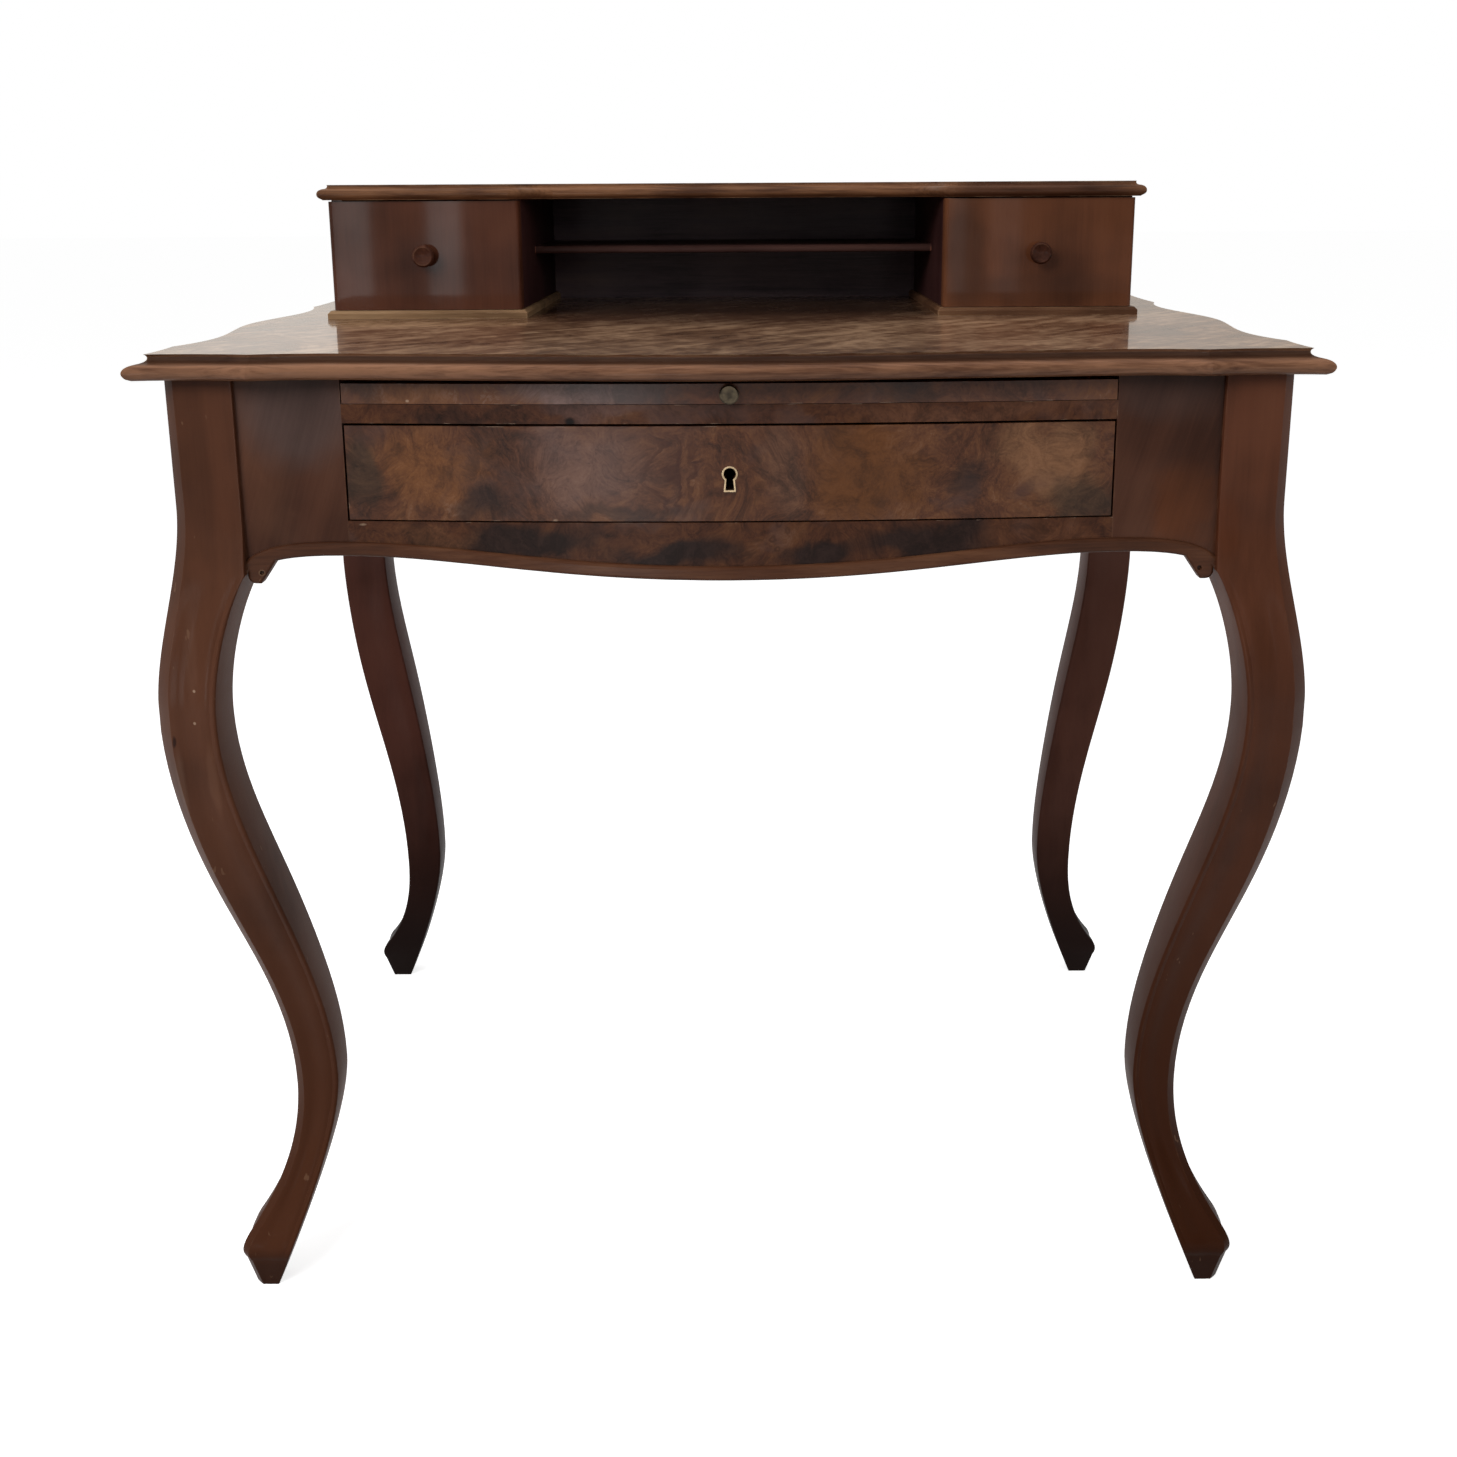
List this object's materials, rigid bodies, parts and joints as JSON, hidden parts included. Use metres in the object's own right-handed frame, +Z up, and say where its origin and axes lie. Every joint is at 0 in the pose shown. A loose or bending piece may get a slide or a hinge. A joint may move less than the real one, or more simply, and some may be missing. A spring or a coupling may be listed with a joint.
{
  "type": "bonheur du jour",
  "caption": "Lady's walnut writing desk on cabriole legs, with a shaped moulded top, writing slide, locking burl drawer, and a rear gradin of small drawers beside a shelved bay.",
  "frame": {"origin": "on the floor under the middle of the desk's overall box", "axes": "+Z up; the front with the drawers faces -Y; +X to the right of someone facing the desk"},
  "size_m": [0.854, 0.6496, 0.8845],
  "materials": {
    "walnut": "french polished, worn",
    "walnut_panel": "french polished veneer",
    "walnut_top": "hazed old polish",
    "walnut_moulding": "french polished",
    "burl_walnut": "french polished burl veneer",
    "turned_walnut": "polished",
    "secondary_wood": "plain, unpolished",
    "brass": "aged",
    "steel": "aged"
  },
  "bodies": {
    "carcass": {"leg_front_left": "walnut", "leg_front_right": "walnut", "leg_back_left": "walnut", "leg_back_right": "walnut", "table_top": "walnut_top", "front_panel_left": "walnut_panel", "front_panel_right": "walnut_panel", "divider_rail": "burl_walnut", "bottom_rail": "burl_walnut", "front_bead": "walnut_moulding", "side_apron_left": "walnut", "side_apron_right": "walnut", "side_bead_left": "walnut_moulding", "side_bead_right": "walnut_moulding", "back_apron": "secondary_wood", "drawer_runner_left": "secondary_wood", "drawer_runner_right": "secondary_wood", "slide_guide_left": "secondary_wood", "slide_guide_right": "secondary_wood", "glue_blocks": "secondary_wood", "drawer_stops": "secondary_wood", "gradin_top": "walnut_top", "gradin_back": "walnut", "gradin_shelf": "walnut", "gradin_outer_side_left": "walnut", "gradin_outer_side_right": "walnut", "gradin_inner_side_left": "walnut", "gradin_inner_side_right": "walnut", "gradin_floor_left": "secondary_wood", "gradin_floor_right": "secondary_wood", "gradin_base_left": "walnut_moulding", "gradin_base_right": "walnut_moulding", "gradin_dowels": "secondary_wood"},
    "main_drawer": {"drawer_front": "burl_walnut", "drawer_side_left": "secondary_wood", "drawer_side_right": "secondary_wood", "drawer_back": "secondary_wood", "drawer_bottom": "secondary_wood", "keyhole_liner": "brass", "lock_case": "steel", "lock_screws": "brass"},
    "lock_bolt": {"lock_bolt": "steel"},
    "writing_slide": {"slide_front": "burl_walnut", "slide_panel": "secondary_wood", "slide_knob": "brass", "slide_stop_batten": "secondary_wood"},
    "small_drawer_left": {"small_drawer_left_front": "walnut_panel", "small_drawer_left_inner_side": "secondary_wood", "small_drawer_left_outer_side": "secondary_wood", "small_drawer_left_back": "secondary_wood", "small_drawer_left_bottom": "secondary_wood", "small_drawer_left_knob": "turned_walnut"},
    "small_drawer_right": {"small_drawer_right_front": "walnut_panel", "small_drawer_right_inner_side": "secondary_wood", "small_drawer_right_outer_side": "secondary_wood", "small_drawer_right_back": "secondary_wood", "small_drawer_right_bottom": "secondary_wood", "small_drawer_right_knob": "turned_walnut"}
  },
  "joints": [
    {"name": "main_drawer_slide", "type": "slide", "parent": "carcass", "child": "main_drawer", "axis": [0, -1, 0], "range_m": [0, 0.3]},
    {"name": "writing_slide_slide", "type": "slide", "parent": "carcass", "child": "writing_slide", "axis": [0, -1, 0], "range_m": [0, 0.275]},
    {"name": "small_drawer_left_slide", "type": "slide", "parent": "carcass", "child": "small_drawer_left", "axis": [0, -1, 0], "range_m": [0, 0.17]},
    {"name": "small_drawer_right_slide", "type": "slide", "parent": "carcass", "child": "small_drawer_right", "axis": [0, -1, 0], "range_m": [0, 0.17]},
    {"name": "lock_bolt_throw", "type": "slide", "parent": "main_drawer", "child": "lock_bolt", "axis": [0, 0, 1], "range_m": [0, 0.007]}
  ]
}
